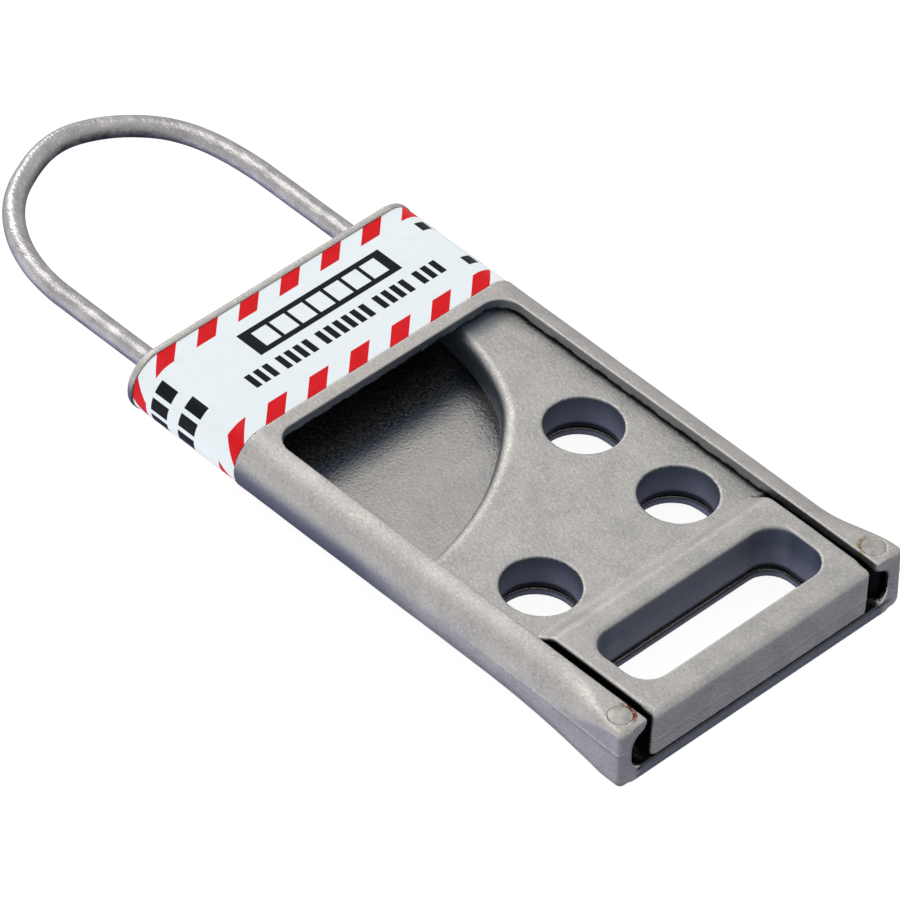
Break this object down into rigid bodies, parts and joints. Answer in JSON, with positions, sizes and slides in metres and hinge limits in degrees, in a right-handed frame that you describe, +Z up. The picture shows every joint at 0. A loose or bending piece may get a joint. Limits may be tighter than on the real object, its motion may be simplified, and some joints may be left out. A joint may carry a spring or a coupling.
{
  "type": "sliding lockout hasp",
  "caption": "Flat cast lockout hasp: a slider with a wire shackle runs in a channelled housing with padlock holes and a slot.",
  "frame": {"origin": "middle of the object's footprint, on the flat underside of the housing", "axes": "+X along the housing from the wire shackle to the open end with the handle, +Y across it towards the rail beside the slider's arm, +Z up out of the open face"},
  "size_m": [0.1308, 0.0504, 0.0096],
  "materials": {
    "cast_steel": "fine blasted casting skin, satin",
    "wire_steel": "drawn wire, semi-bright with fine scratches",
    "pin_steel": "satin",
    "label_film": "white film with red slanted stripes, satin"
  },
  "bodies": {
    "housing_body": {"housing": "cast_steel", "stop_pin_left": "pin_steel", "stop_pin_right": "pin_steel", "label": "label_film"},
    "slider_body": {"slider": "cast_steel", "shackle": "wire_steel", "shackle_retaining_pin": "pin_steel"}
  },
  "joints": [
    {"name": "slider_slide", "type": "slide", "parent": "housing_body", "child": "slider_body", "axis": [-1, 0, 0], "range_m": [0, 0.014]}
  ]
}
